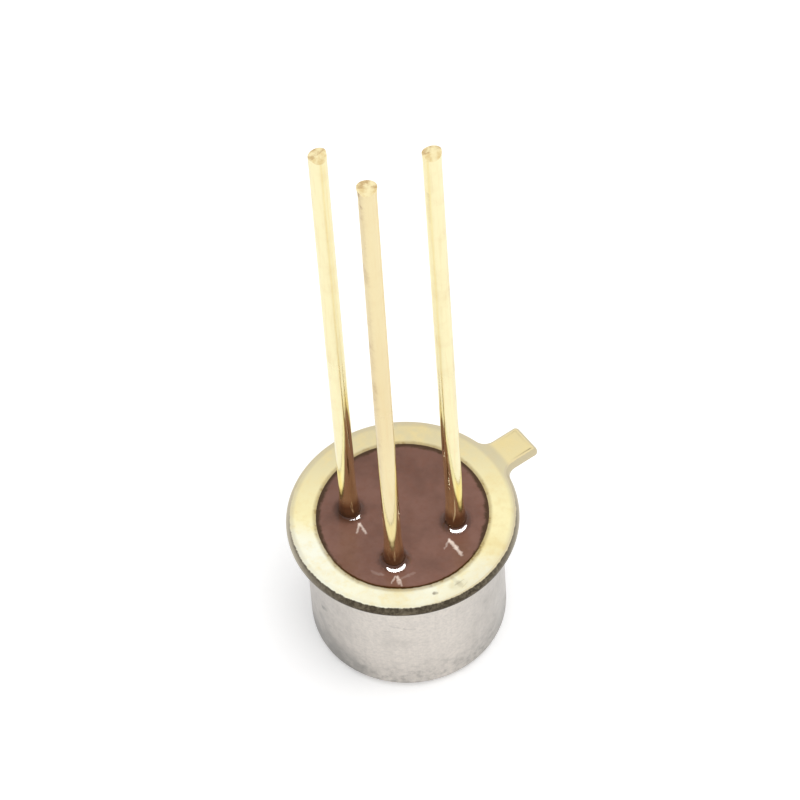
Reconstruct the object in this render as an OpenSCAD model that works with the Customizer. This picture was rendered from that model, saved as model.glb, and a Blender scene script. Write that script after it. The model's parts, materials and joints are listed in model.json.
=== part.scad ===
// PIN photodiode in a windowed metal can with three leads, standing on its window end
// Millimetres. The origin is the middle of the cap's flat end, and +Z runs up along the leads.

/* [Cap] */
// Height from the cap's end face to the header's seating face
can_h = 3.9; // [3.6:0.05:4.6]
// Outside diameter of the cap's barrel
cap_d = 4.7; // [4.6:0.02:4.8]
// Thickness of the sheet that the cap is drawn from
cap_t = 0.2; // [0.15:0.01:0.25]
// Inside radius of the cap's bends, at its end and at its flange
cap_bend_r = 0.1; // [0.05:0.01:0.15]
// How far the cap's flange stays inside the header's flange
weld_step = 0.16; // [0.1:0.01:0.2]
// Diameter of the light opening in the cap's end
aperture_d = 3.0; // [2.6:0.05:3.2]

/* [Window] */
// Thickness of the window
window_t = 0.5; // [0.35:0.05:0.7]
// Space between the window's edge and the cap's bore
window_gap = 0.2; // [0.15:0.01:0.25]
// Height of the solder glass round the window
seal_h = 0.3; // [0.2:0.02:0.34]

/* [Header] */
// Diameter of the header's flange
flange_d = 5.54; // [5.4:0.02:5.8]
// Radius of the flange's rounded upper edge
flange_edge_r = 0.1; // [0.04:0.01:0.14]
// Thickness of the sheet that the header is drawn from
header_t = 0.2; // [0.16:0.01:0.24]
// Height from the seating face to the chip platform
header_h = 1.3; // [1.1:0.05:1.5]
// Inside radius of the header's bends
header_bend_r = 0.05; // [0.03:0.01:0.08]
// Clearance between the header's wall and the cap's bore
hat_gap = 0.1; // [0.06:0.01:0.14]
// Width of the locating tab
tab_w = 0.9; // [0.7:0.05:1.2]
// Length of the locating tab past the flange's edge
tab_len = 0.93; // [0.8:0.01:1.2]
// Radius of the fillets at the tab's root
tab_fillet_r = 0.3; // [0.1:0.05:0.4]
// Radius of the tab's outer corners
tab_corner_r = 0.12; // [0.03:0.01:0.15]
// Diameter of the holes in the platform for the insulated leads
hole_d = 0.95; // [0.8:0.05:1.0]

/* [Glass] */
// Depth of the glass's edge below the seating face
glass_drop = 0.005; // [0.003:0.001:0.02]
// Depth of the hollow in the glass's surface, from its edge to its middle
glass_dish = 0.06; // [0.03:0.01:0.1]
// Radius of the glass collar round each lead
collar_r = 0.22; // [0.16:0.01:0.26]

/* [Leads] */
// Diameter of the leads
lead_d = 0.42; // [0.4:0.01:0.5]
// Diameter of the circle on which the leads stand
lead_circle_d = 2.54; // [2.5:0.01:2.6]
// Length of the anode lead above the seating face
anode_len = 14.05; // [6:0.05:16]
// Length of the cathode lead above the seating face
cathode_len = 14.25; // [6:0.05:16]
// Length of the case lead above the seating face
case_len = 13.55; // [6:0.05:16]
// Chamfer at the cut end of each lead
lead_chamfer = 0.03; // [0.01:0.01:0.06]
// Height of the insulated leads' posts past the platform
post_h = 0.5; // [0.3:0.05:0.6]
// Diameter of the case lead's head, which is welded to the platform
head_d = 0.7; // [0.6:0.02:0.8]
// Thickness of the case lead's head
head_t = 0.12; // [0.08:0.01:0.2]

/* [Chip] */
// Width of the square photodiode chip
chip_w = 1.0; // [0.6:0.05:1.1]
// Thickness of the chip
chip_t = 0.3; // [0.2:0.02:0.4]
// Margin of the submount round the chip, on which a wire is bonded
submount_margin = 0.2; // [0.16:0.01:0.22]
// Thickness of the ceramic submount
submount_t = 0.25; // [0.15:0.01:0.3]
// Thickness of each solder layer
solder_t = 0.03; // [0.02:0.005:0.05]

/* [Bond wires] */
// Diameter of the bond wires
wire_d = 0.03; // [0.025:0.001:0.04]
// Diameter of the ball at a wire's first bond
ball_d = 0.09; // [0.06:0.01:0.12]
// Height of the ball
ball_h = 0.03; // [0.02:0.005:0.04]
// Height of the loop above the ball
loop_h = 0.25; // [0.15:0.01:0.35]
// Length of the stitch on the lead's post
stitch_len = 0.12; // [0.08:0.01:0.16]

/* [Hidden] */
$fn = 96;

// Directions of the leads and the tab round the axis
anode_angle = 0;
cathode_angle = -90;
case_angle = 180;
tab_angle = 45;

// Cap
cap_r = cap_d / 2;
cap_bore_r = cap_r - cap_t;
cap_outer_bend_r = cap_bend_r + cap_t;
weld_z = can_h - header_t;
cap_flange_r = flange_d / 2 - weld_step;

// Window
window_r = cap_bore_r - window_gap;

// Header, where the tab's fillets start just inside the flange's rounded edge
flange_r = flange_d / 2;
root_r = flange_r - 1.2 * flange_edge_r;
hat_r = cap_bore_r - hat_gap;
hat_bore_r = hat_r - header_t;
header_outer_bend_r = header_bend_r + header_t;
mouth_r = hat_bore_r + header_outer_bend_r;
platform_z = can_h - header_h;
well_z = platform_z + header_t;

// Leads
lead_r = lead_d / 2;
lead_circle_r = lead_circle_d / 2;
post_z = platform_z - post_h;

// Glass: its edge lies on the bend of the mouth, and its surface is part of a large sphere
glass_r = mouth_r - sqrt(pow(header_outer_bend_r, 2) - pow(header_outer_bend_r - glass_drop, 2));
dish_r = (pow(glass_r, 2) + pow(glass_dish, 2)) / (2 * glass_dish);
dish_z = can_h - glass_drop - glass_dish + dish_r;
collar_z = dish_z - sqrt(pow(dish_r, 2) - pow(lead_circle_r, 2)) - collar_r / 12;
collar_lip = collar_r / 16;

// Chip stack, which hangs from the platform and faces the window
submount_w = chip_w + 2 * submount_margin;
submount_z = platform_z - solder_t - submount_t;
chip_z = submount_z - solder_t - chip_t;

// Bond wires
wire_sides = 8;
wire_steps = 14;
wire_flat = wire_d / 2 * cos(180 / wire_sides);
pad_inset = ball_d;

// Corner area between two lines that meet at the origin and the arc that touches both
module corner(r) {
    difference() {
        square(r);
        translate([r, r]) circle(r);
    }
}

// Rectangle from the axis, with its lower outer corner rounded
module cup_section(r, z0, z1, bend_r) {
    difference() {
        translate([0, z0]) square([r, z1 - z0]);
        translate([r, z0]) mirror([1, 0]) corner(bend_r);
    }
}

// Area under a rim at height z, where a bend leaves the wall at radius r
module flare_section(r, z, bend_r) {
    translate([r, z]) mirror([0, 1]) corner(bend_r);
}

// Moves a shape to its place on the lead circle
module at_lead(angle) {
    rotate(angle) translate([lead_circle_r, 0, 0]) children();
}

module cap_hollow_section() {
    cup_section(cap_bore_r, cap_t, weld_z, cap_bend_r);
    flare_section(cap_bore_r, weld_z, cap_outer_bend_r);
}

module cap() {
    color("lightgray") rotate_extrude() difference() {
        union() {
            cup_section(cap_r, 0, weld_z, cap_outer_bend_r);
            translate([0, weld_z - cap_t]) square([cap_flange_r, cap_t]);
            flare_section(cap_r, weld_z - cap_t, cap_bend_r);
        }
        cap_hollow_section();
        square([aperture_d / 2, cap_t * 2]);
    }
}

module window() {
    color("azure") translate([0, 0, cap_t]) cylinder(h = window_t, r = window_r);
}

module window_seal() {
    dish_rise = window_gap * cos(30);
    color("slategray") rotate_extrude() difference() {
        intersection() {
            cap_hollow_section();
            translate([window_r, cap_t]) square([window_gap, seal_h]);
        }
        translate([window_r + window_gap / 2, cap_t + seal_h + dish_rise]) circle(window_gap);
    }
}

module header_well_section() {
    cup_section(hat_bore_r, well_z, can_h, header_bend_r);
    flare_section(hat_bore_r, can_h, header_outer_bend_r);
}

// Fillet between the flange's flat and the tab's side, with the tab along +X
module tab_root() {
    center_y = tab_w / 2 + tab_fillet_r;
    center_x = sqrt(pow(root_r + tab_fillet_r, 2) - pow(center_y, 2));
    touch = root_r / (root_r + tab_fillet_r);
    difference() {
        polygon([
            [center_x, center_y],
            [center_x * touch, center_y * touch],
            [mouth_r, tab_w / 4],
            [center_x, tab_w / 4]
        ]);
        translate([center_x, center_y]) circle(tab_fillet_r);
    }
}

module tab_outline() {
    tab_end = flange_r + tab_len;
    difference() {
        translate([mouth_r, -tab_w / 2]) square([tab_end - mouth_r, tab_w]);
        translate([tab_end, -tab_w / 2]) mirror([1, 0]) corner(tab_corner_r);
        translate([tab_end, tab_w / 2]) mirror([1, 0]) mirror([0, 1]) corner(tab_corner_r);
        circle((mouth_r + flange_r) / 2);
    }
    tab_root();
    mirror([0, 1]) tab_root();
}

module header_shell() {
    color("gold") difference() {
        union() {
            rotate_extrude() difference() {
                union() {
                    cup_section(hat_r, platform_z, can_h, header_outer_bend_r);
                    translate([0, weld_z]) square([flange_r, header_t]);
                    flare_section(hat_r, weld_z, header_bend_r);
                }
                translate([flange_r, can_h]) mirror([1, 0]) mirror([0, 1]) corner(flange_edge_r);
                header_well_section();
            }
            rotate(tab_angle) translate([0, 0, weld_z]) linear_extrude(header_t) tab_outline();
        }
        for (angle = [anode_angle, cathode_angle])
            at_lead(angle) translate([0, 0, platform_z - header_t]) cylinder(h = 3 * header_t, d = hole_d);
    }
}

module glass_collar() {
    translate([0, 0, collar_z]) rotate_extrude() {
        square([lead_r + collar_lip, collar_r]);
        translate([lead_r + collar_lip, 0]) corner(collar_r);
    }
}

module glass_fill() {
    color("saddlebrown") difference() {
        union() {
            rotate_extrude() difference() {
                intersection() {
                    header_well_section();
                    square([glass_r, can_h]);
                }
                translate([0, dish_z]) circle(dish_r, $fn = 1440);
            }
            for (angle = [anode_angle, cathode_angle, case_angle]) at_lead(angle) glass_collar();
            for (angle = [anode_angle, cathode_angle])
                at_lead(angle) translate([0, 0, platform_z]) cylinder(h = 2 * header_t, d = hole_d);
        }
        for (angle = [anode_angle, cathode_angle])
            at_lead(angle) translate([0, 0, platform_z - header_t]) cylinder(h = 2 * header_h, r = lead_r);
        at_lead(case_angle) translate([0, 0, well_z - header_t]) cylinder(h = 2 * header_h, r = lead_r);
        at_lead(case_angle) translate([0, 0, well_z - header_t]) cylinder(h = header_t + head_t, d = head_d);
    }
}

// Lead from height z0 to its cut end
module lead(z0, length) {
    straight_end = can_h + length - lead_chamfer;
    translate([0, 0, z0]) cylinder(h = straight_end - z0, r = lead_r);
    translate([0, 0, straight_end]) cylinder(h = lead_chamfer, r1 = lead_r, r2 = lead_r - lead_chamfer);
}

module lead_anode() {
    color("khaki") at_lead(anode_angle) lead(post_z, anode_len);
}

module lead_cathode() {
    color("khaki") at_lead(cathode_angle) lead(post_z, cathode_len);
}

module lead_case() {
    color("khaki") at_lead(case_angle) {
        lead(well_z, case_len);
        translate([0, 0, well_z]) cylinder(h = head_t, d = head_d);
    }
}

// Square plate centred on the axis
module plate(width, z0, thickness) {
    translate([-width / 2, -width / 2, z0]) cube([width, width, thickness]);
}

module submount_solder() {
    color("darkkhaki") plate(submount_w, platform_z - solder_t, solder_t);
}

module submount() {
    color("whitesmoke") plate(submount_w, submount_z, submount_t);
}

module chip_solder() {
    color("darkkhaki") plate(chip_w, submount_z - solder_t, solder_t);
}

module photodiode_chip() {
    color("midnightblue") plate(chip_w, chip_z, chip_t);
}

function bezier(a, b, c, d, t) =
    pow(1 - t, 3) * a + 3 * t * pow(1 - t, 2) * b + 3 * t * t * (1 - t) * c + pow(t, 3) * d;

// One ring of a wire: its middle in the wire's plane, the direction it faces and its radius
function wire_ring(middle, facing, r) = [
    for (i = [0 : wire_sides - 1])
        let (a = 360 * (i + 0.5) / wire_sides)
        [
            middle[0] - r * sin(a) * sin(facing),
            r * cos(a),
            middle[1] + r * sin(a) * cos(facing)
        ]
];

// Wire with a ball at its start and a flat stitch at its end, which lies at distance span and height rise
module bond_wire(span, rise) {
    start = [0, ball_h];
    end = [span - stitch_len, rise + wire_flat];
    over_start = start + [0, loop_h];
    over_end = end + [-(span - stitch_len) / 3, max(loop_h, start[1] + loop_h - end[1])];
    path = [for (i = [0 : wire_steps]) bezier(start, over_start, over_end, end, i / wire_steps)];
    function facing(i) =
        i == 0 ? 90
        : i == wire_steps ? 0
        : atan2(path[i + 1][1] - path[i - 1][1], path[i + 1][0] - path[i - 1][0]);
    points = concat(
        wire_ring([0, 0], 90, ball_d / 2),
        wire_ring(start, 90, ball_d / 2),
        [for (i = [0 : wire_steps]) each wire_ring(path[i], facing(i), wire_d / 2)],
        wire_ring([span, rise + wire_flat], 0, wire_d / 2)
    );
    last = wire_steps + 3;
    polyhedron(points, concat(
        [[for (i = [wire_sides - 1 : -1 : 0]) i]],
        [
            for (ring = [0 : last - 1], i = [0 : wire_sides - 1])
                let (next = (i + 1) % wire_sides)
                [
                    ring * wire_sides + i,
                    ring * wire_sides + next,
                    (ring + 1) * wire_sides + next,
                    (ring + 1) * wire_sides + i
                ]
        ],
        [[for (i = [0 : wire_sides - 1]) last * wire_sides + i]]
    ));
}

// Wire from a bond at radius r and height z, outwards to the post of the lead in that direction
module bond_to_post(angle, r, z) {
    rotate(angle) translate([r, 0, z]) rotate([180, 0, 0]) bond_wire(lead_circle_r - r, z - post_z);
}

module wire_anode() {
    color("gold") bond_to_post(anode_angle, chip_w / 2 - pad_inset, chip_z);
}

module wire_cathode() {
    color("gold") bond_to_post(cathode_angle, chip_w / 2 + submount_margin / 2, submount_z);
}

cap();
window();
window_seal();
header_shell();
glass_fill();
lead_anode();
lead_cathode();
lead_case();
submount_solder();
submount();
chip_solder();
photodiode_chip();
wire_anode();
wire_cathode();
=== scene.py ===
"""Looks of a small photodiode: a drawn can, a gold header ring with its glass seal, and three leads."""
import json
import math
from types import SimpleNamespace

import bmesh
import bpy
from mathutils import Matrix, Vector


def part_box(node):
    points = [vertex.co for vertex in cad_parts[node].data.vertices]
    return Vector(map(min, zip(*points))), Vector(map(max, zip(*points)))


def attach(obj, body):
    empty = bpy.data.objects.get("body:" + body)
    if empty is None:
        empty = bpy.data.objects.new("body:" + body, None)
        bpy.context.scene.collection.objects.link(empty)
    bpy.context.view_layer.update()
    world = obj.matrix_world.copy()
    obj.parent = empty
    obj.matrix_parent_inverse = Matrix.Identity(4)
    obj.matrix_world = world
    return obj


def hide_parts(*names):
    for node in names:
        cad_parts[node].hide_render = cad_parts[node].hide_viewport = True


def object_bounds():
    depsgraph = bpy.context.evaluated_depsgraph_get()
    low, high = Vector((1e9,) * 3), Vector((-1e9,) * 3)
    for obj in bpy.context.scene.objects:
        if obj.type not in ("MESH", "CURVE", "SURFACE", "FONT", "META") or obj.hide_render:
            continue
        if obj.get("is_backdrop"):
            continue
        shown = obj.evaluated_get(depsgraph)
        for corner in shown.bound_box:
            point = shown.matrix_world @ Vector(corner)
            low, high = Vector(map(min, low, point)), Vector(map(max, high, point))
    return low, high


bl_info = {
    "name": "Photodiode can",
    "version": (1, 0, 0),
    "blender": (4, 5, 0),
    "location": "3D View > Sidebar > Photodiode",
    "description": "Builds the visible pieces of a photodiode on its packed frame",
    "category": "Object",
}

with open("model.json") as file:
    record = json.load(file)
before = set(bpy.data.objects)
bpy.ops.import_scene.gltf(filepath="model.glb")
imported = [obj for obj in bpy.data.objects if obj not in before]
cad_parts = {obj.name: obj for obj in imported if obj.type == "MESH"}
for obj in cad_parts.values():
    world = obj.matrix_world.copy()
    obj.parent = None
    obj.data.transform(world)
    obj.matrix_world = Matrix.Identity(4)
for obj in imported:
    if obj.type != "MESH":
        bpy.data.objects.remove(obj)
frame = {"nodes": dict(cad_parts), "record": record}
CAD_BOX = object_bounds()
MOUNTS = {mount["name"]: mount for mount in frame["record"]["mounts"]}
HEADER_LOW, HEADER_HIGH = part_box("header_shell")
WINDOW_LOW, WINDOW_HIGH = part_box("window")
CAP_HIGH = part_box("cap")[1]
GLASS_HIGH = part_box("glass_fill")[1]

# Pieces are drawn in millimetres and scaled to metres when they are finished
MM = 0.001
TURN_STEPS = 192
WIRE_STEPS = 64
BEND_STEPS = 8
CURVE_STEPS = 3 * BEND_STEPS
SAME_PLACE = 1e-4
RIGHT = Vector((1, 0, 0))
ACROSS = Vector((0, 1, 0))
UP = Vector((0, 0, 1))
LEAD_NODES = ("lead_anode", "lead_cathode", "lead_case")


def length(name, description, default):
    """A length that a user may change."""
    return bpy.props.FloatProperty(
        name=name, description=description, default=default, min=0.0, precision=6, unit="LENGTH"
    )


def angle(name, description, degrees):
    """An angle that a user may change."""
    return bpy.props.FloatProperty(
        name=name, description=description, default=math.radians(degrees), precision=3, unit="ROTATION"
    )


def colour(name, description, default):
    """A colour that a user may change, as linear red, green and blue."""
    return bpy.props.FloatVectorProperty(
        name=name, description=description, default=default, size=3, min=0.0, max=1.0, subtype="COLOR"
    )


def amount(name, description, default):
    """A plain number that a user may change."""
    return bpy.props.FloatProperty(name=name, description=description, default=default, min=0.0)


class CanSizes(bpy.types.PropertyGroup):
    """Sizes of the cap and its window."""

    barrel_radius: length(
        "Barrel radius", "Outside radius of the cap's barrel", MOUNTS["cap_barrel"]["dims"]["r_mm"] * MM
    )
    flange_radius: length("Flange radius", "Radius of the cap's flange", CAP_HIGH.x)
    height: length("Height", "Height of the cap from its end to the weld", CAP_HIGH.z)
    sheet: length("Sheet", "Thickness of the cap's sheet", WINDOW_LOW.z)
    outer_bend: length("Outer bend", "Radius on the outside of a bend", 0.0003)
    inner_bend: length("Inner bend", "Radius on the inside of a bend", 0.0001)
    opening_radius: length("Opening radius", "Radius of the opening in the cap's end", 0.0015)
    edge_rounding: length("Edge rounding", "Radius left on a cut edge", 0.00002)
    window_radius: length("Window radius", "Radius of the window", WINDOW_HIGH.x)
    window_thickness: length("Window thickness", "Thickness of the window", WINDOW_HIGH.z - WINDOW_LOW.z)


class HeaderSizes(bpy.types.PropertyGroup):
    """Sizes of the drawn header."""

    flange_radius: length("Flange radius", "Radius of the gold ring", -HEADER_LOW.x)
    seat_height: length("Seat height", "Height of the gold ring's upper face", HEADER_HIGH.z)
    weld_height: length("Weld height", "Height of the gold ring's lower face", CAP_HIGH.z)
    platform_height: length("Platform height", "Height of the face that carries the chip", HEADER_LOW.z)
    hat_radius: length("Hat radius", "Outside radius of the drawn hat", 0.00205)
    outer_bend: length("Outer bend", "Radius on the outside of a bend", 0.00025)
    inner_bend: length("Inner bend", "Radius on the inside of a bend", 0.00005)
    tab_length: length("Tab length", "How far the tab stands out of the ring", 0.00093)
    tab_width: length("Tab width", "Width of the tab", 0.0009)
    tab_fillet: length("Tab fillet", "Radius where the tab leaves the ring", 0.0003)
    tab_corner: length("Tab corner", "Radius of the tab's corners", 0.00012)
    tab_angle: angle("Tab angle", "Direction of the tab from the anode lead", 45)
    upper_edge: length("Upper edge", "Radius of the ring's rounded upper edge", 0.00014)
    lower_edge: length("Lower edge", "Radius left on the ring's lower edge", 0.00003)
    hole_radius: length("Hole radius", "Radius of the holes for the insulated leads", 0.000475)


class GlassSizes(bpy.types.PropertyGroup):
    """Sizes of the sealing glass."""

    radius: length("Radius", "Radius at which the glass meets the header's bend", GLASS_HIGH.x)
    edge_drop: length("Edge drop", "Depth of the glass's edge below the seat", 0.000005)
    dish: length("Dish", "Depth of the hollow in the glass", 0.00006)
    collar_radius: length("Collar radius", "Radius of a usual collar's hollow curve", 0.00026)
    collar_lip: length("Collar lip", "Thickness of a collar's upper edge", 0.00001)
    collar_sink: length("Collar sink", "How far a collar's foot lies below the glass", 0.000006)
    collar_depth: length("Collar depth", "How far a collar reaches down into the glass", 0.0001)


class LeadSizes(bpy.types.PropertyGroup):
    """Sizes of the leads."""

    radius: length("Radius", "Radius of a lead", MOUNTS["anode_pin"]["dims"]["r_mm"] * MM)
    head_radius: length("Head radius", "Radius of the case lead's welded head", 0.00035)
    head_thickness: length("Head thickness", "Thickness of the case lead's welded head", 0.00012)
    end_rounding: length("End rounding", "Radius left on the edge of a lead's inner end", 0.00001)
    ridge_rounding: length("Ridge rounding", "Half width of the blunt ridge between two strokes", 0.00004)
    foot_swell: length("Foot swell", "How much thicker a lead's foot is where it leaves the glass", 0.00006)
    foot_height: length("Foot height", "Height above the seat at which a lead's foot ends", 0.0008)
    flare_length: length("Flare length", "Length that the cutter spread at a lead's end", 0.0004)
    lean_x: length("Lean in X", "How far the cathode lead's end leans in X", 0.000063)
    lean_y: length("Lean in Y", "How far the cathode lead's end leans in Y", 0.000014)


class Looks(bpy.types.PropertyGroup):
    """Colours of the finishes and where on the part they change."""

    gold: colour("Gold", "Clean gold plate on the ring", (1.0, 0.91, 0.53))
    # Painted highlight on the near side of the ring
    gold_rubbed: colour("Rubbed gold", "Paler plate on the near side of the ring", (1.0, 1.0, 0.84))
    gold_stain: colour("Gold stain", "Stained gold plate on the ring", (0.89, 0.73, 0.36))
    # Painted shade on the right of the ring and where its outer bend starts there
    gold_smoke: colour("Gold smoke", "Greyer plate on the right of the ring", (0.80, 0.69, 0.44))
    gold_ochre: colour("Gold ochre", "Stain on the ring by the glass", (0.32, 0.21, 0.075))
    # Painted shade on the far side of the ring and behind its outer edge
    gold_shade: colour("Gold shade", "Duller plate on the far side of the ring", (0.69, 0.60, 0.375))
    lead_gold: colour("Lead gold", "Gold plate on the leads", (1.0, 0.92, 0.575))
    lead_tan: colour("Lead tan", "Browner plate on the near lead", (0.885, 0.725, 0.425))
    lead_streak: colour("Lead streak", "Streaks along the leads", (0.86, 0.67, 0.36))
    # Brown marks on the leads, painted shade along the sides of the outer leads, and painted shade above a
    # lead's foot
    lead_smoke: colour("Lead smoke", "Tarnish above a lead's foot", (0.30, 0.165, 0.070))
    # Painted shade where a lead leaves the glass
    lead_foot: colour("Lead foot", "Stain where a lead leaves the glass", (0.36, 0.26, 0.15))
    cut_end: colour("Cut end", "Bare metal at the leads' cut ends", (0.70, 0.52, 0.27))
    # Cut metal painted lighter on the facets that face the front, a painted highlight
    cut_plate: colour("Cut plate", "Plate that the cutter pressed down", (0.86, 0.70, 0.38))
    # Painted highlight mottled over the cut ends
    cut_smear: colour("Cut smear", "Plate smeared over the cut ends", (1.0, 0.89, 0.55))
    # Painted dark reflection on the ring's outer edge, darkest in front
    ring_edge: colour("Ring edge", "Tarnished edge of the ring", (0.068, 0.054, 0.037))
    ring_edge_worn: colour("Worn ring edge", "Rubbed places on the ring's edge", (0.26, 0.22, 0.155))
    # Painted shade on the ring's outer edge and along it, away from the front
    ring_edge_pale: colour("Pale ring edge", "Thin plate on the ring's edge", (0.50, 0.45, 0.355))
    # The front, towards which the painted highlight, shade and reflection on the ring and the glass are set
    tarnish_side: angle("Tarnish side", "Direction in which the ring's edge is tarnished", -77.4)
    # Turn from the front to the middle of the ring's painted highlight
    rubbed_turn: angle("Rubbed turn", "From the tarnished side to the middle of the rubbed one", -16)
    # Turn from the front to the middle of the ring's painted shade on the right
    smoked_turn: angle("Smoked turn", "From the tarnished side to the middle of the greyer one", 42)
    # Direction across which the cap's plate gets painted shade at both sides
    dull_side: angle("Dull side", "Direction across which the cap's plate gets duller", 12.6)
    nickel: colour("Nickel", "Dull nickel plate on the cap", (0.78, 0.725, 0.665))
    # Stains and handling marks on the cap, and its painted shade at the sides
    nickel_stain: colour("Nickel stain", "Stains and handling marks on the cap", (0.47, 0.45, 0.425))
    # Pits in the cap's plate, and painted shade low on its sides
    nickel_pit: colour("Nickel pit", "Pits in the cap's plate", (0.28, 0.27, 0.255))
    cap_edge: colour("Cap edge", "Cut edge of the cap's flange", (0.22, 0.20, 0.17))
    glass: colour("Glass", "Brown sealing glass", (0.247, 0.121, 0.089))
    # Darker places in the glass, and painted shade on its far side and round the leads
    glass_deep: colour("Deep glass", "Darker places in the glass", (0.085, 0.033, 0.018))
    glass_warm: colour("Warm glass", "Redder places in the glass", (0.205, 0.078, 0.046))
    glass_rim: colour("Glass rim", "Dark line where the glass meets the ring", (0.060, 0.026, 0.005))
    # Painted reflections of the leads in the glass
    glass_mark: colour("Glass mark", "Pale marks in the glass", (1.0, 0.84, 0.75))
    window: colour("Window", "Clear window", (0.95, 0.98, 0.97))
    solder_glass: colour("Solder glass", "Seal round the window", (0.10, 0.105, 0.11))
    solder_glass_pale: colour("Pale solder glass", "Paler places in the window's seal", (0.16, 0.16, 0.17))
    alumina: colour("Alumina", "Ceramic plate under the chip", (0.80, 0.78, 0.73))
    alumina_shade: colour("Alumina shade", "Darker places on the ceramic plate", (0.72, 0.70, 0.66))
    silicon: colour("Silicon", "Light-sensitive face of the chip", (0.012, 0.016, 0.045))
    silicon_tint: colour("Silicon tint", "Violet places on the chip's face", (0.020, 0.014, 0.060))
    chip_border: colour("Chip border", "Chip outside its metal frame", (0.10, 0.10, 0.11))
    chip_metal: colour("Chip metal", "Metal frame on the chip", (0.80, 0.80, 0.80))
    solder: colour("Solder", "Gold-tin solder", (0.72, 0.64, 0.42))
    solder_dull: colour("Dull solder", "Duller places on the solder", (0.55, 0.50, 0.36))
    bond_gold: colour("Bond gold", "Fine gold wire", (0.95, 0.74, 0.30))
    bond_gold_deep: colour("Deep bond gold", "Redder places on the gold wire", (0.90, 0.66, 0.24))


class StageSettings(bpy.types.PropertyGroup):
    """Camera and light of the stage."""

    azimuth: angle("Azimuth", "Direction of the camera round the part", 12.6)
    elevation: angle("Elevation", "Height of the camera above the floor", 53.99)
    roll: angle("Roll", "Turn of the camera about its view", -4.387)
    distance: length("Distance", "From the camera to the point it looks at", 0.136795)
    aim_right: length("Aim right", "Where the camera looks, to the right of the part's axis", 0.00015)
    aim_behind: length("Aim behind", "Where the camera looks, behind the part's axis", 0.006172)
    focal_length: amount("Focal length", "Lens in millimetres on a 36 mm sensor", 247.5)
    sky: amount("Sky", "Level of the light from all round", 0.66)
    key: amount("Key", "Level of the soft lamp", 0.34)
    glint: amount("Glint", "Brightness of the card that shows only in the collars", 50.0)
    floor: colour("Floor", "Pale floor", (0.95, 0.95, 0.95))
    floor_seen: amount("Floor seen", "How much lighter the floor is to the camera", 0.29)
    floor_mirrored: amount("Floor mirrored", "How much lighter the floor is in mirrors", 0.12)


def millimetres(group):
    """The values of a property group, with its lengths in millimetres."""
    values = {}
    for name in type(group).__annotations__:
        unit = group.bl_rna.properties[name].unit
        values[name] = getattr(group, name) / (MM if unit == "LENGTH" else 1)
    return SimpleNamespace(**values)


def lead_axis(node):
    """Where a lead's axis stands, in millimetres."""
    low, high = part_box(node)
    return Vector((round((low.x + high.x) / 2 / MM, 3), round((low.y + high.y) / 2 / MM, 3), 0))


def header_inside(header):
    """The header's sheet, the radius of its bore and the height of its floor."""
    sheet = header.seat_height - header.weld_height
    return sheet, header.hat_radius - sheet, header.platform_height + sheet


# Mesh helpers


def new_mesh(bm, name):
    """Makes a mesh of a bmesh, which is used up."""
    mesh = bpy.data.meshes.new(name)
    bm.to_mesh(mesh)
    bm.free()
    return mesh


def new_object(name, data):
    """Puts a new object in the scene."""
    made = bpy.data.objects.new(name, data)
    bpy.context.scene.collection.objects.link(made)
    return made


def of_kind(items, kind):
    """The vertices, edges or faces among the results of an operator."""
    return [item for item in items if isinstance(item, kind)]


def sweep(bm, vert, centre, turn, steps, axis=UP):
    """Sweeps a vertex round an axis and gives the vertex at the end of its arc."""
    swept = bmesh.ops.spin(bm, geom=[vert], cent=centre, axis=axis, angle=turn, steps=steps)
    return swept["geom_last"][0]


def draw_to(bm, vert, place):
    """Draws a straight edge from a vertex and gives the vertex at its end."""
    drawn = bmesh.ops.extrude_vert_indiv(bm, verts=[vert])["verts"][0]
    drawn.co = place
    return drawn


def round_off(bm, geom, radius, affect="EDGES", segments=BEND_STEPS):
    """Rounds edges or corners."""
    bmesh.ops.bevel(
        bm,
        geom=geom,
        offset=radius,
        offset_type="OFFSET",
        segments=segments,
        profile=0.5,
        affect=affect,
        material=-1,
    )


def section(corners, closed=False):
    """A section in the XZ plane from (radius, height, rounding) corners."""
    bm = bmesh.new()
    verts = [bm.verts.new((radius, 0, height)) for radius, height, _ in corners]
    for start, end in zip(verts, verts[1:] + verts[:1] if closed else verts[1:]):
        bm.edges.new((start, end))
    for vert, (_, _, rounding) in zip(verts, corners):
        if rounding:
            round_off(bm, [vert], rounding, affect="VERTICES")
    return bm


def revolve(bm, steps=TURN_STEPS):
    """Turns a section once round the Z axis."""
    section_geom = bm.verts[:] + bm.edges[:]
    bmesh.ops.spin(
        bm, geom=section_geom, cent=(0, 0, 0), axis=UP, angle=math.tau, steps=steps, use_merge=True
    )
    bmesh.ops.remove_doubles(bm, verts=bm.verts, dist=SAME_PLACE)
    return bm


def take_in(bm, other):
    """Adds another bmesh to this one."""
    mesh = new_mesh(other, "part")
    bm.from_mesh(mesh)
    bpy.data.meshes.remove(mesh)


def rim_at(bm, height):
    """The open edges that lie at a height."""

    def on_rim(vert):
        return abs(vert.co.z - height) < SAME_PLACE

    return [edge for edge in bm.edges if len(edge.link_faces) < 2 and all(map(on_rim, edge.verts))]


def circle(bm, centre, radius):
    """Draws a level circle of a wire's steps and gives its edges."""
    place = Matrix.Translation(centre)
    verts = bmesh.ops.create_circle(bm, segments=WIRE_STEPS, radius=radius, matrix=place)["verts"]
    return list({edge for vert in verts for edge in vert.link_edges})


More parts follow.
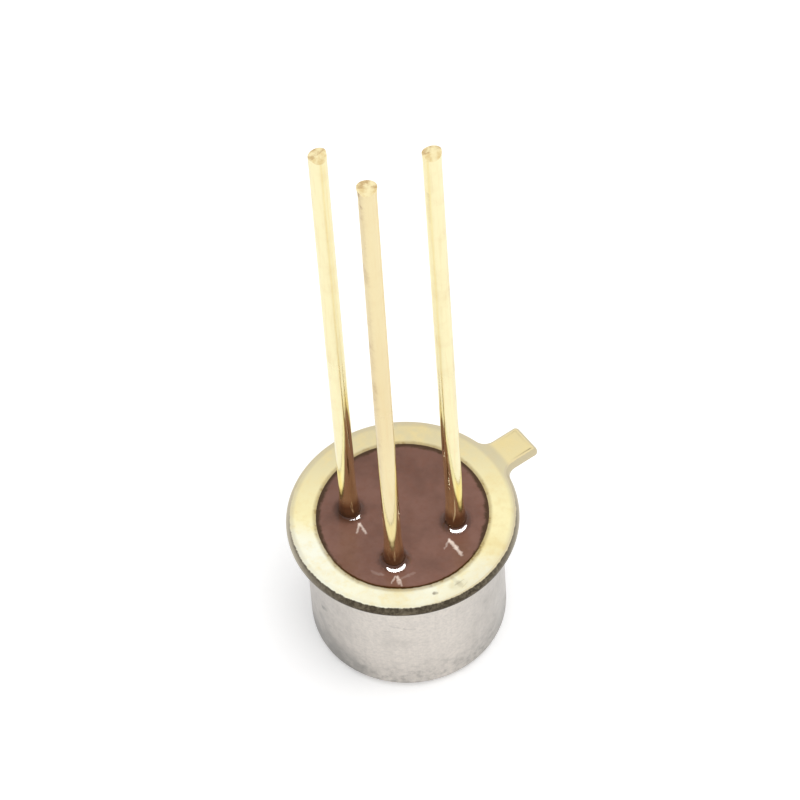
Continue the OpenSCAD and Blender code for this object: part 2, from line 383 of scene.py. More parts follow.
def pull(bm, edges, offset):
    """Extrudes a rim by an offset and gives the new rim."""
    grown = bmesh.ops.extrude_edge_only(bm, edges=edges)["geom"]
    verts = of_kind(grown, bmesh.types.BMVert)
    bmesh.ops.translate(bm, vec=offset, verts=verts)
    rim = set(verts)
    return [edge for edge in of_kind(grown, bmesh.types.BMEdge) if set(edge.verts) <= rim]


def rim_verts(edges):
    """The vertices of a rim."""
    return list({vert for edge in edges for vert in edge.verts})


def fill_between(bm, edges):
    """Fills a level area between rims."""
    bmesh.ops.triangle_fill(bm, use_beauty=True, use_dissolve=False, edges=edges, normal=UP)


def finish_piece(bm, name, node, materials, crease=35, even=True):
    """Makes an object of a closed bmesh that stands for a CAD node."""
    bmesh.ops.remove_doubles(bm, verts=bm.verts, dist=SAME_PLACE)
    bmesh.ops.dissolve_degenerate(bm, edges=bm.edges, dist=SAME_PLACE / 10)
    bmesh.ops.recalc_face_normals(bm, faces=bm.faces)
    open_edges = sum(1 for edge in bm.edges if len(edge.link_faces) != 2)
    if open_edges:
        raise RuntimeError(f"{name} has {open_edges} open edges")
    bmesh.ops.scale(bm, vec=(MM, MM, MM), verts=bm.verts)
    mesh = new_mesh(bm, name)
    for material in materials:
        mesh.materials.append(material)
    mesh.shade_smooth()
    mesh.set_sharp_from_angle(angle=math.radians(crease))
    piece = new_object(name, mesh)
    if even:
        normals = piece.modifiers.new("Even normals", "WEIGHTED_NORMAL")
        normals.keep_sharp = True
    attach(piece, "root")
    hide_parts(node)
    return piece


# Node helpers


class Nodes:
    """A node tree with short ways to add to it. A value is a number or the output of a node."""

    def __init__(self, tree):
        self.tree = tree

    def feed(self, socket, value):
        """Links a socket to an output, or gives it a plain value."""
        if isinstance(value, bpy.types.NodeSocket):
            self.tree.links.new(value, socket)
        else:
            socket.default_value = value

    def add(self, kind, values=(), **settings):
        """Adds a node with its settings and the values of its inputs."""
        made = self.tree.nodes.new(kind)
        for key, value in settings.items():
            setattr(made, key, value)
        for key, value in dict(values).items():
            self.feed(made.inputs[key], value)
        return made

    def math(self, operation, first, second=0.0, clamp=False):
        """Joins two values."""
        made = self.add("ShaderNodeMath", {0: first, 1: second}, operation=operation, use_clamp=clamp)
        return made.outputs[0]

    def plus(self, first, second, clamp=False):
        """The sum of two values."""
        return self.math("ADD", first, second, clamp)

    def minus(self, first, second, clamp=False):
        """The first value less the second."""
        return self.math("SUBTRACT", first, second, clamp)

    def times(self, first, *others):
        """The product of two or more values."""
        for other in others:
            first = self.math("MULTIPLY", first, other)
        return first

    def over(self, first, second, clamp=False):
        """One value divided by another."""
        return self.math("DIVIDE", first, second, clamp)

    def vector(self, operation, first, second=(0, 0, 0)):
        """Joins two vectors."""
        made = self.add("ShaderNodeVectorMath", {0: first, 1: second}, operation=operation)
        return made.outputs["Value" if operation in ("DOT_PRODUCT", "LENGTH", "DISTANCE") else "Vector"]

    def scaled(self, vector, share):
        """A vector times a value."""
        return self.add("ShaderNodeVectorMath", {0: vector, "Scale": share}, operation="SCALE").outputs[0]

    def ramp(self, value, from_low, from_high, to_low=0.0, to_high=1.0):
        """Maps a value smoothly from one range to another."""
        given = enumerate((value, from_low, from_high, to_low, to_high))
        return self.add("ShaderNodeMapRange", given, interpolation_type="SMOOTHSTEP").outputs[0]

    def between(self, mask, low, high):
        """A value that runs from low to high with a mask."""
        return self.ramp(mask, 0.0, 1.0, low, high)

    def mix(self, mask, low, high):
        """Mixes two colours by a mask."""
        return self.add("ShaderNodeMix", {0: mask, 6: low, 7: high}, data_type="RGBA").outputs[2]


def new_group(name, vectors, floats):
    """Starts a node group that puts out a mask, and gives its nodes and its inputs."""
    group = bpy.data.node_groups.new(name, "ShaderNodeTree")
    for kind, sockets in (("NodeSocketVector", vectors), ("NodeSocketFloat", floats)):
        for socket in sockets:
            group.interface.new_socket(socket, in_out="INPUT", socket_type=kind)
    group.interface.new_socket("Mask", in_out="OUTPUT", socket_type="NodeSocketFloat")
    return Nodes(group), group.nodes.new("NodeGroupInput").outputs


def end_group(nodes, mask):
    """Puts a group's mask out and gives the group."""
    nodes.add("NodeGroupOutput", {"Mask": mask})
    return nodes.tree


def mottle_group():
    """Cloudy patches, as of stained plate."""
    nodes, given = new_group("Mottle", ["Position"], ["Patch", "Low", "High"])
    scale = nodes.over(1.0, given["Patch"])
    noise = nodes.add(
        "ShaderNodeTexNoise", {"Vector": given["Position"], "Scale": scale, "Detail": 5.0, "Roughness": 0.62}
    )
    return end_group(nodes, nodes.ramp(noise.outputs[0], given["Low"], given["High"]))


def streak_group():
    """Fine streaks along Z, as drawing leaves on a barrel or a wire."""
    nodes, given = new_group("Drawn streaks", ["Position"], ["Across", "Along", "Low", "High"])
    across = nodes.over(1.0, given["Across"])
    along = nodes.over(1.0, given["Along"])
    scale = nodes.add("ShaderNodeCombineXYZ", enumerate((across, across, along)))
    place = nodes.vector("MULTIPLY", given["Position"], scale.outputs[0])
    noise = nodes.add("ShaderNodeTexNoise", {"Vector": place, "Scale": 1.0, "Detail": 3.0, "Roughness": 0.55})
    return end_group(nodes, nodes.ramp(noise.outputs[0], given["Low"], given["High"]))


def speck_group():
    """Scattered small specks."""
    nodes, given = new_group("Specks", ["Position"], ["Spacing", "Radius", "Share"])
    scale = nodes.over(1.0, given["Spacing"])
    cells = nodes.add("ShaderNodeTexVoronoi", {"Vector": given["Position"], "Scale": scale}).outputs
    radius = nodes.over(given["Radius"], given["Spacing"])
    spot = nodes.ramp(cells["Distance"], radius, nodes.times(radius, 0.5))
    draw = nodes.add("ShaderNodeSeparateColor", {0: cells["Color"]}).outputs[0]
    chosen = nodes.math("LESS_THAN", draw, given["Share"])
    return end_group(nodes, nodes.times(spot, chosen))


def line_group():
    """A soft, uneven line between two points that fades towards its end, as a scratch."""
    nodes, given = new_group("Line", ["Position", "Start", "End"], ["Core", "Reach", "Waver", "Fade"])
    noise = nodes.add("ShaderNodeTexNoise", {"Vector": given["Position"], "Scale": 9000.0, "Detail": 2.0})
    stray = nodes.vector("SUBTRACT", noise.outputs["Color"], (0.5, 0.5, 0.5))
    place = nodes.vector("ADD", given["Position"], nodes.scaled(stray, given["Waver"]))
    offset = nodes.vector("SUBTRACT", place, given["Start"])
    run = nodes.vector("SUBTRACT", given["End"], given["Start"])
    passed = nodes.vector("DOT_PRODUCT", offset, run)
    share = nodes.over(passed, nodes.vector("DOT_PRODUCT", run, run), clamp=True)
    distance = nodes.vector("DISTANCE", offset, nodes.scaled(run, share))
    line = nodes.ramp(distance, given["Reach"], given["Core"])
    kept = nodes.minus(1.0, nodes.times(share, given["Fade"]))
    return end_group(nodes, nodes.times(line, kept))


GROUP_MAKERS = {
    "Mottle": mottle_group,
    "Drawn streaks": streak_group,
    "Specks": speck_group,
    "Line": line_group,
}


def opaque(rgb):
    """A colour with full alpha."""
    return (*rgb, 1.0)


class Finish(Nodes):
    """A material whose tone is built up from masks. Its lengths are in metres."""

    def __init__(self, name, tone, metallic=0.0):
        self.material = bpy.data.materials.new(name)
        self.material.use_nodes = True
        super().__init__(self.material.node_tree)
        self.shader = self.tree.nodes["Principled BSDF"].inputs
        self.shader["Metallic"].default_value = metallic
        self.position = self.tree.nodes.new("ShaderNodeTexCoord").outputs["Object"]
        self.tone = opaque(tone)

    def along(self, direction):
        """How far a place lies along a direction."""
        return self.vector("DOT_PRODUCT", self.position, direction)

    def towards(self, turn):
        """How far a place lies along the level direction at an angle from +X."""
        return self.along((math.cos(turn), math.sin(turn), 0))

    def level(self):
        """A place without its height."""
        return self.vector("MULTIPLY", self.position, (1, 1, 0))

    def effect(self, name, position=None, **values):
        """Places a shared effect in the material and gives its mask."""
        made = self.add("ShaderNodeGroup", node_tree=bpy.data.node_groups.get(name) or GROUP_MAKERS[name]())
        self.feed(made.inputs["Position"], self.position if position is None else position)
        for key, value in values.items():
            made.inputs[key.capitalize()].default_value = value
        return made.outputs["Mask"]

    def mottle(self, patch, low, high):
        """Cloudy patches of a size."""
        return self.effect("Mottle", patch=patch, low=low, high=high)

    def tint(self, rgb, mask, share=None):
        """Lays a colour over the tone by a mask, or by a share of it."""
        if share is not None:
            mask = self.times(mask, share)
        self.tone = self.mix(mask, self.tone, opaque(rgb))

    def draw_marks(self, rgb, marks, core, reach, waver, fade, position=None, broken_by=None):
        """Draws soft marks, full at core and gone at reach half widths, that a mask may break up."""
        for start, end, half, strength in marks:
            line = self.effect(
                "Line",
                position,
                start=[value * MM for value in start],
                end=[value * MM for value in end],
                core=core * half * MM,
                reach=reach * half * MM,
                waver=waver,
                fade=fade,
            )
            if broken_by is not None:
                ends = MARK_BROKEN * strength, MARK_WHOLE * strength
                strength = self.ramp(broken_by, 0.0, MASK_FULL, *ends)
            self.tint(rgb, line, strength)

    def done(self, roughness, relief=None, depth=0.0):
        """Gives the shader its tone, its roughness and a fine relief, and gives the material."""
        self.feed(self.shader["Base Color"], self.tone)
        self.feed(self.shader["Roughness"], roughness)
        if relief is not None:
            bump = self.add("ShaderNodeBump", {"Strength": 1.0, "Distance": depth, "Height": relief})
            self.feed(self.shader["Normal"], bump.outputs[0])
        return self.material


# Marks

# A mark that a mask breaks up: its share of strength where the mask is empty and where it is full,
# and the mask's value from which it counts as full
MARK_BROKEN = 0.5
MARK_WHOLE = 1.3
MASK_FULL = 0.8

# The tables are in millimetres: start, end, half width, and then strength

# Scratches and a speck on the ring
RING_MARKS = (
    ((1.09, -2.12), (1.14, -2.11), 0.016, 0.80),
    ((1.54, -1.83), (1.72, -1.64), 0.005, 0.28),
    ((1.72, -1.88), (1.81, -1.71), 0.004, 0.25),
    ((1.61, -1.76), (1.67, -1.81), 0.024, 0.34),
    ((1.46, -1.65), (1.52, -1.70), 0.020, 0.22),
    ((1.50, -1.86), (1.76, -1.74), 0.040, 0.12),
)

# Brown marks on the leads, and painted shade along the sides of the outer leads
LEAD_MARKS_AND_SHADE = (
    ((-0.090, -1.395, 17.90), (-0.120, -1.400, 13.00), 0.044, 0.34),
    ((-0.115, -1.398, 12.80), (-0.145, -1.405, 7.00), 0.044, 0.30),
    ((-0.080, -1.440, 11.10), (-0.088, -1.444, 10.30), 0.024, 0.14),
    ((-0.040, -1.448, 16.90), (-0.052, -1.450, 15.60), 0.012, 0.16),
    ((-0.058, -1.448, 14.20), (-0.062, -1.450, 12.50), 0.012, 0.16),
    ((1.474, -0.048, 14.40), (1.477, -0.035, 11.90), 0.018, 0.15),
    ((1.474, -0.048, 11.20), (1.471, -0.060, 7.80), 0.018, 0.16),
    ((1.166, -0.182, 16.60), (1.162, -0.180, 15.60), 0.016, 0.20),
    ((-1.452, -0.108, 17.20), (-1.452, -0.108, 15.60), 0.020, 0.14),
    ((-0.095, -1.412, 18.00), (-0.090, -1.418, 17.52), 0.012, 0.72),
    ((-0.078, -1.436, 17.54), (-0.074, -1.436, 17.46), 0.014, 0.76),
)

# Painted reflections of the leads in the glass in front of them
GLASS_REFLECTIONS = (
    ((0.105, -1.764), (0.052, -1.955), 0.013, 0.60),
    ((0.163, -1.765), (0.222, -1.945), 0.018, 0.80),
    ((0.221, -1.834), (0.299, -2.009), 0.013, 0.55),
    ((0.272, -1.785), (0.549, -1.581), 0.018, 0.15),
    ((-0.209, -1.747), (-0.456, -1.693), 0.022, 0.14),
    ((1.200, -0.563), (1.132, -0.802), 0.013, 0.42),
    ((1.206, -0.561), (1.385, -0.755), 0.024, 1.00),
    ((1.385, -0.755), (1.560, -0.948), 0.022, 0.90),
    ((-0.985, -0.351), (-0.981, -0.640), 0.015, 0.75),
    ((-0.973, -0.356), (-0.790, -0.592), 0.018, 0.90),
)

# Handling marks on the cap
CAP_MARKS = (
    ((0.042, -2.350, 2.609), (0.278, -2.334, 2.587), 0.014, 0.30),
    ((0.346, -2.324, 2.544), (0.645, -2.260, 2.505), 0.014, 0.30),
    ((-0.136, -2.346, 2.398), (0.056, -2.349, 2.397), 0.014, 0.22),
    ((-1.760, -1.557, 1.930), (-1.690, -1.633, 1.970), 0.034, 0.80),
    ((-1.823, -1.483, 1.427), (-1.491, -1.817, 0.736), 0.070, 0.35),
    ((-1.617, -1.705, 1.410), (-1.560, -1.758, 1.414), 0.020, 0.40),
    ((-1.221, -2.008, 0.641), (-0.529, -2.290, 0.462), 0.050, 0.18),
)


def at_height(marks, height):
    """Level marks, put at a height."""
    return [((*start, height), (*end, height), half, strength) for start, end, half, strength in marks]


# Materials

GLASS_IOR = 1.5
# The metal frame on the chip: half its width inside and outside, and how sharp it is
FRAME_INSIDE = 0.000405
FRAME_OUTSIDE = 0.000445
FRAME_BLUR = 0.000005


def ring_edge_tone(finish, looks, ring, facing, side, drop, ragged):
    """Painted dark reflection on the ring's edge in front, with worn patches, painted shade that is paler
    away from there, and the far side's painted shade behind.
    """
    worn = finish.mottle(patch=0.0006, low=0.54, high=0.82)
    tone = finish.mix(worn, opaque(looks.ring_edge), opaque(looks.ring_edge_worn))
    tone = finish.mix(finish.times(ragged, 0.45), tone, opaque(looks.ring_edge_worn))
    away = finish.minus(1.0, side)
    lower = finish.times(away, finish.ramp(drop, 0.00003, 0.00010))
    line = finish.ramp(facing, -0.2 * ring, 0.3 * ring, 1.0, 0.35)
    away = finish.times(away, finish.ramp(drop, 0.000008, 0.00004, line, 1.0))
    pale = finish.plus(away, finish.times(lower, 0.5), clamp=True)
    tone = finish.mix(pale, tone, opaque(looks.ring_edge_pale))
    behind = finish.ramp(facing, 0.1 * ring, -0.6 * ring, 0.0, 0.8)
    return finish.mix(behind, tone, opaque(looks.gold_shade))


def gold_plate(looks, ring, mouth, seat):
    """Pale gold plate on the ring, mottled and scratched, with a painted highlight in front and painted shade
    behind and on the right, stained at its inner edge, and with a painted dark reflection and painted shade
    on its outer edge.
    """
    # Places round the ring are shares of its radius
    finish = Finish("gold_plate", looks.gold, metallic=1.0)
    painted_front = looks.tarnish_side
    facing = finish.towards(painted_front)
    across = finish.towards(painted_front + math.pi / 2)
    radius = finish.vector("LENGTH", finish.level())
    drop = finish.minus(seat, finish.along(UP))
    stain = finish.mottle(patch=0.0007, low=0.44, high=0.72)
    cloud = finish.mottle(patch=0.00018, low=0.42, high=0.74)
    rub = finish.mottle(patch=0.0002, low=0.45, high=0.75)
    ragged = finish.mottle(patch=0.00009, low=0.38, high=0.68)

    # The flat face, with painted shade behind, a painted highlight in front and painted shade on the right
    finish.tint(looks.gold_shade, finish.ramp(facing, 0.1 * ring, -0.95 * ring), 0.85)
    near = finish.ramp(finish.towards(painted_front + looks.rubbed_turn), 0.15 * ring, 0.5 * ring)
    near = finish.minus(near, finish.times(cloud, 0.25), clamp=True)
    finish.tint(looks.gold_rubbed, near)
    shaded_right = finish.towards(painted_front + looks.smoked_turn)
    finish.tint(looks.gold_smoke, finish.ramp(shaded_right, 0.72 * ring, 0.95 * ring, 0.0, 0.3))
    stained = finish.plus(finish.times(stain, 0.55), finish.times(cloud, 0.40))
    stained = finish.math("MULTIPLY", stained, finish.between(near, 1.0, 0.40), clamp=True)
    finish.tint(looks.gold_stain, stained)
    speck = finish.effect("Specks", spacing=0.00042, radius=0.00003, share=0.08)
    finish.tint(looks.ring_edge_worn, speck, 0.35)
    marks = at_height(RING_MARKS, seat / MM)
    finish.draw_marks(looks.ring_edge_worn, marks, core=1.0, reach=4.0, waver=0.00004, fade=0.4)

    # Painted shade where the bend starts at the outer edge on the right, and the tab darker
    outer = finish.ramp(radius, 0.9 * ring, 0.94 * ring)
    bend = finish.times(outer, finish.ramp(drop, 0.0000001, 0.000002))
    finish.tint(looks.gold_smoke, bend, finish.ramp(across, -0.1 * ring, 0.4 * ring, 0.0, 0.9))
    finish.tint(looks.gold_stain, finish.ramp(radius, 1.0 * ring, 1.05 * ring, 0.0, 0.45))

    # The inner edge, over which the glass ran in front
    overrun = finish.ramp(facing, 0.3 * mouth, 0.98 * mouth, 0.0, 0.00008)
    inner = finish.plus(finish.minus(radius, overrun), finish.times(ragged, 0.000012))
    ochre = finish.ramp(inner, mouth + 0.00012, mouth + 0.00003, 0.0, 0.9)
    finish.tint(looks.gold_ochre, ochre, finish.between(rub, 0.6, 1.0))
    finish.tint(looks.glass_rim, finish.ramp(inner, mouth + 0.00002, mouth - 0.00002))
    finish.tint(looks.glass, finish.ramp(inner, mouth - 0.00003, mouth - 0.00008))

    # The rounded outer edge with its painted dark reflection, and painted shade along it on the sides
    side = finish.ramp(finish.plus(facing, finish.times(across, 0.06)), -0.2 * ring, 0.9 * ring)
    side_edge_shade = finish.times(
        finish.ramp(radius, 0.915 * ring, 0.952 * ring),
        finish.ramp(side, 0.9, 0.2, 0.1, 0.4),
        finish.ramp(radius, 1.06 * ring, 1.01 * ring),
    )
    finish.tint(looks.ring_edge_pale, side_edge_shade)
    uneven = finish.minus(drop, finish.times(rub, 0.000005))
    uneven = finish.minus(uneven, finish.times(ragged, 0.000005))
    uneven = finish.minus(uneven, finish.ramp(across, 0.2 * ring, 0.8 * ring, 0.0, 0.000007))
    edge = finish.times(finish.ramp(uneven, 0.0000005, 0.000008), outer)
    dark = ring_edge_tone(finish, looks, ring, facing, side, drop, ragged)
    finish.tone = finish.mix(edge, finish.tone, dark)

    grain = finish.mottle(patch=0.00006, low=0.3, high=0.7)
    return finish.done(finish.between(stain, 0.30, 0.42), grain, 0.0000012)


def lead_gold(looks, seat):
    """Gold plate on a drawn wire, browner on the near lead, with streaks, brown marks, painted shade along
    the sides of the outer leads and painted shade at the foot.
    """
    # Heights are above the seat
    finish = Finish("lead_gold", looks.lead_gold, metallic=1.0)
    above = finish.minus(finish.along(UP), seat)
    tan = finish.times(
        finish.ramp(finish.along(ACROSS), -0.0006, -0.0011),
        finish.ramp(above, 0.0100, 0.0070, 0.65, 0.85),
        finish.ramp(above, 0.0055, 0.0035, 1.0, 0.75),
    )
    finish.tint(looks.lead_tan, tan)
    streak = finish.effect("Drawn streaks", across=0.00007, along=0.0011, low=0.46, high=0.72)
    blotch = finish.mottle(patch=0.0007, low=0.46, high=0.72)
    finish.tint(looks.lead_streak, finish.plus(finish.times(streak, 0.26), finish.times(blotch, 0.26)))
    # Painted shade above and at each lead's foot, where it leaves the glass
    finish.tint(looks.lead_smoke, finish.ramp(above, 0.00072, 0.00032, 0.0, 0.86))
    finish.tint(looks.lead_foot, finish.ramp(above, 0.00044, 0.00030), 0.97)
    # Brown marks, and painted shade along the sides of the outer leads
    finish.draw_marks(
        looks.lead_smoke, LEAD_MARKS_AND_SHADE, core=0.5, reach=4.0, waver=0.00008, fade=0.3, broken_by=blotch
    )
    return finish.done(finish.ramp(above, 0.0040, 0.0070, 0.12, 0.33), streak, 0.0000004)


def nickel_plate(looks, barrel):
    """Dull nickel plate on the drawn cap, with drawing streaks, stains, handling marks and pits, and painted
    shade at the sides and low down.
    """
    # Places across the barrel are shares of its radius
    finish = Finish("nickel_plate", looks.nickel, metallic=1.0)
    stain = finish.mottle(patch=0.0012, low=0.46, high=0.74)
    streak = finish.effect("Drawn streaks", across=0.00012, along=0.003, low=0.42, high=0.75)
    finish.tint(looks.nickel_stain, finish.plus(finish.times(stain, 0.3), finish.times(streak, 0.12)))
    finish.tint(looks.nickel_stain, finish.mottle(patch=0.00008, low=0.35, high=0.68), 0.3)

    # Painted shade to the left and to the right
    facing = finish.towards(looks.dull_side)
    left = finish.ramp(facing, -0.35 * barrel, -0.95 * barrel, 0.0, 0.42)
    right = finish.ramp(facing, 0.35 * barrel, 0.98 * barrel, 0.0, 0.55)
    side_shade = finish.plus(left, right)
    finish.tint(looks.nickel_stain, side_shade)

    # Pits towards the window end, and painted shade low on the left and right, broken up by smudges
    height = finish.along(UP)
    pitted = finish.plus(finish.ramp(height, 0.0013, 0.0002, 0.08, 0.62), finish.times(side_shade, 0.25))
    finish.tint(looks.nickel_pit, finish.mottle(patch=0.00017, low=0.42, high=0.74), pitted)
    low_side_shade = finish.ramp(facing, -0.2 * barrel, -0.7 * barrel, 0.12, 0.8)
    low_side_shade = finish.plus(low_side_shade, finish.times(right, 0.4))
    smudge = finish.mottle(patch=0.0004, low=0.25, high=0.6)
    low_side_shade = finish.times(low_side_shade, finish.ramp(height, 0.0013, 0.0004), finish.between(smudge, 0.45, 1.0))
    finish.tint(looks.nickel_pit, low_side_shade)

    finish.draw_marks(looks.nickel_pit, CAP_MARKS, core=0.5, reach=3.0, waver=0.0001, fade=0.4)
    speck = finish.effect("Specks", spacing=0.0005, radius=0.00004, share=0.12)
    finish.tint(looks.nickel_pit, speck, 0.6)
    return finish.done(finish.between(stain, 0.34, 0.48), streak, 0.0000015)


def seal_glass(looks, axes, edge_radius):
    """Opaque brown glass with painted shade on its far side and round the leads, glossier by the leads, with
    painted reflections of the leads in front of them.
    """
    finish = Finish("seal_glass", looks.glass)
    finish.shader["IOR"].default_value = GLASS_IOR
    finish.shader["Specular IOR Level"].default_value = 0.3
    level = finish.level()
    facing = finish.towards(looks.tarnish_side)
    cloud = finish.mottle(patch=0.0008, low=0.35, high=0.75)
    fine = finish.mottle(patch=0.00022, low=0.4, high=0.75)
    # Painted shade on the far side of the glass
    far = finish.ramp(facing, -0.2 * edge_radius, -0.95 * edge_radius, 0.0, 0.28)
    finish.tint(looks.glass_deep, finish.plus(finish.times(cloud, 0.4), far))
    finish.tint(looks.glass_warm, fine, 0.4)

    # A line that is as good as a point paints shade on the glass round each lead and makes it glossier there
    gloss = 0.0
    for axis in axes:
        ends = {"start": axis * MM, "end": (axis + ACROSS * MM) * MM}
        near = finish.effect("Line", level, **ends, core=0.00028, reach=0.00046, waver=0.0001)
        finish.tint(looks.glass_deep, near, 0.85)
        gloss = finish.plus(near, gloss, clamp=True)
    # Painted reflections of the leads in the glass in front of them
    marks = at_height(GLASS_REFLECTIONS, 0)
    finish.draw_marks(
        looks.glass_mark, marks, core=1 / 3, reach=3.0, waver=0.00011, fade=0.35, position=level
    )

    # The dark line at the edge, pushed outwards in front, where the glass ran over the ring
    radius = finish.plus(finish.vector("LENGTH", level), finish.times(fine, 0.00006))
    overrun = finish.ramp(facing, 0.3 * edge_radius, 0.98 * edge_radius, 0.0, 0.00020)
    rim = finish.ramp(finish.minus(radius, overrun), edge_radius - 0.00012, edge_radius - 0.00003)
    finish.tint(looks.glass_rim, rim, 0.95)
    return finish.done(finish.between(gloss, 0.18, 0.06))


def window_glass(looks):
    """Clear polished window with a faint haze."""
    finish = Finish("window_glass", looks.window)
    finish.shader["Transmission Weight"].default_value = 1.0
    finish.shader["IOR"].default_value = GLASS_IOR
    haze = finish.mottle(patch=0.0014, low=0.45, high=0.8)
    return finish.done(finish.between(haze, 0.01, 0.04))


def cloudy(name, tones, patch, roughness, metallic=0.0, spread=(0.35, 0.7), depth=0.0):
    """A plain finish with cloudy changes of colour and gloss, and of height where it has a depth."""
    base, other = tones
    finish = Finish(name, base, metallic)
    cloud = finish.mottle(patch, *spread)
    finish.tint(other, cloud)
    return finish.done(finish.between(cloud, *roughness), cloud if depth else None, depth)


def cut_end(name, base, smear):
    """Metal where a lead was cut off, mottled with a painted highlight."""
    return cloudy(name, (base, smear), 0.0002, (0.65, 0.5), 1.0, spread=(0.35, 0.65), depth=0.000004)


def cap_edge(looks):
    """Grey cut edge of the cap's flange."""
    tones = (looks.cap_edge, looks.nickel_stain)
    return cloudy("cap_edge", tones, 0.0007, (0.5, 0.38), 1.0, spread=(0.45, 0.75), depth=0.000003)


def chip_face(looks):
    """Dark light-sensitive square with a metal frame and dicing marks at its edge."""
    finish = Finish("chip_face", looks.silicon)
    aside = finish.math("ABSOLUTE", finish.along(RIGHT))
    reach = finish.math("MAXIMUM", aside, finish.math("ABSOLUTE", finish.along(ACROSS)))
    outside = finish.ramp(reach, FRAME_INSIDE, FRAME_INSIDE + FRAME_BLUR)
    metal = finish.times(outside, finish.ramp(reach, FRAME_OUTSIDE, FRAME_OUTSIDE - FRAME_BLUR))
    finish.tint(looks.silicon_tint, finish.mottle(patch=0.0008, low=0.3, high=0.7))
    finish.tint(looks.chip_border, outside)
    finish.tint(looks.chip_metal, metal)
    finish.feed(finish.shader["Metallic"], metal)
    return finish.done(finish.between(outside, 0.08, 0.35))


def dress_nodes(material, *nodes):
    """Gives CAD nodes their material."""
    for node in nodes:
        slots = frame["nodes"][node].data.materials
        slots.clear()
        slots.append(material)


# Pieces


class PHOTODIODE_OT_cap(bpy.types.Operator):
    """Builds the drawn cap"""

    bl_idname = "photodiode.cap"
    bl_label = "Cap"

    def execute(self, context):
        sizes = millimetres(context.scene.diode_can)
        looks = context.scene.diode_looks
        bore = sizes.barrel_radius - sizes.sheet
        flange_low = sizes.height - sizes.sheet
        corners = [
            (sizes.opening_radius, 0, sizes.edge_rounding),
            (sizes.barrel_radius, 0, sizes.outer_bend),
            (sizes.barrel_radius, flange_low, sizes.inner_bend),
            (sizes.flange_radius, flange_low, sizes.edge_rounding),
            (sizes.flange_radius, sizes.height, sizes.edge_rounding),
            (bore, sizes.height, sizes.outer_bend),
            (bore, sizes.sheet, sizes.inner_bend),
            (sizes.opening_radius, sizes.sheet, sizes.edge_rounding),
        ]
        bm = revolve(section(corners, closed=True))
        for face in bm.faces:
            middle = face.calc_center_median()
            if math.hypot(middle.x, middle.y) > sizes.flange_radius - sizes.edge_rounding:
                face.material_index = 1
        plate = nickel_plate(looks, sizes.barrel_radius * MM)
        finish_piece(bm, "cap_drawn", "cap", [plate, cap_edge(looks)])
        return {"FINISHED"}


class PHOTODIODE_OT_window(bpy.types.Operator):
    """Builds the window and finishes its seal"""

    bl_idname = "photodiode.window"
    bl_label = "Window"

    def execute(self, context):
        sizes = millimetres(context.scene.diode_can)
        looks = context.scene.diode_looks
        top = sizes.sheet + sizes.window_thickness
        corners = [
            (0, sizes.sheet, 0),
            (sizes.window_radius, sizes.sheet, sizes.edge_rounding),
            (sizes.window_radius, top, sizes.edge_rounding),
            (0, top, 0),
        ]
        bm = revolve(section(corners))
        finish_piece(bm, "window_disc", "window", [window_glass(looks)])
        tones = (looks.solder_glass, looks.solder_glass_pale)
        dress_nodes(cloudy("solder_glass", tones, patch=0.0003, roughness=(0.25, 0.40)), "window_seal")
        return {"FINISHED"}


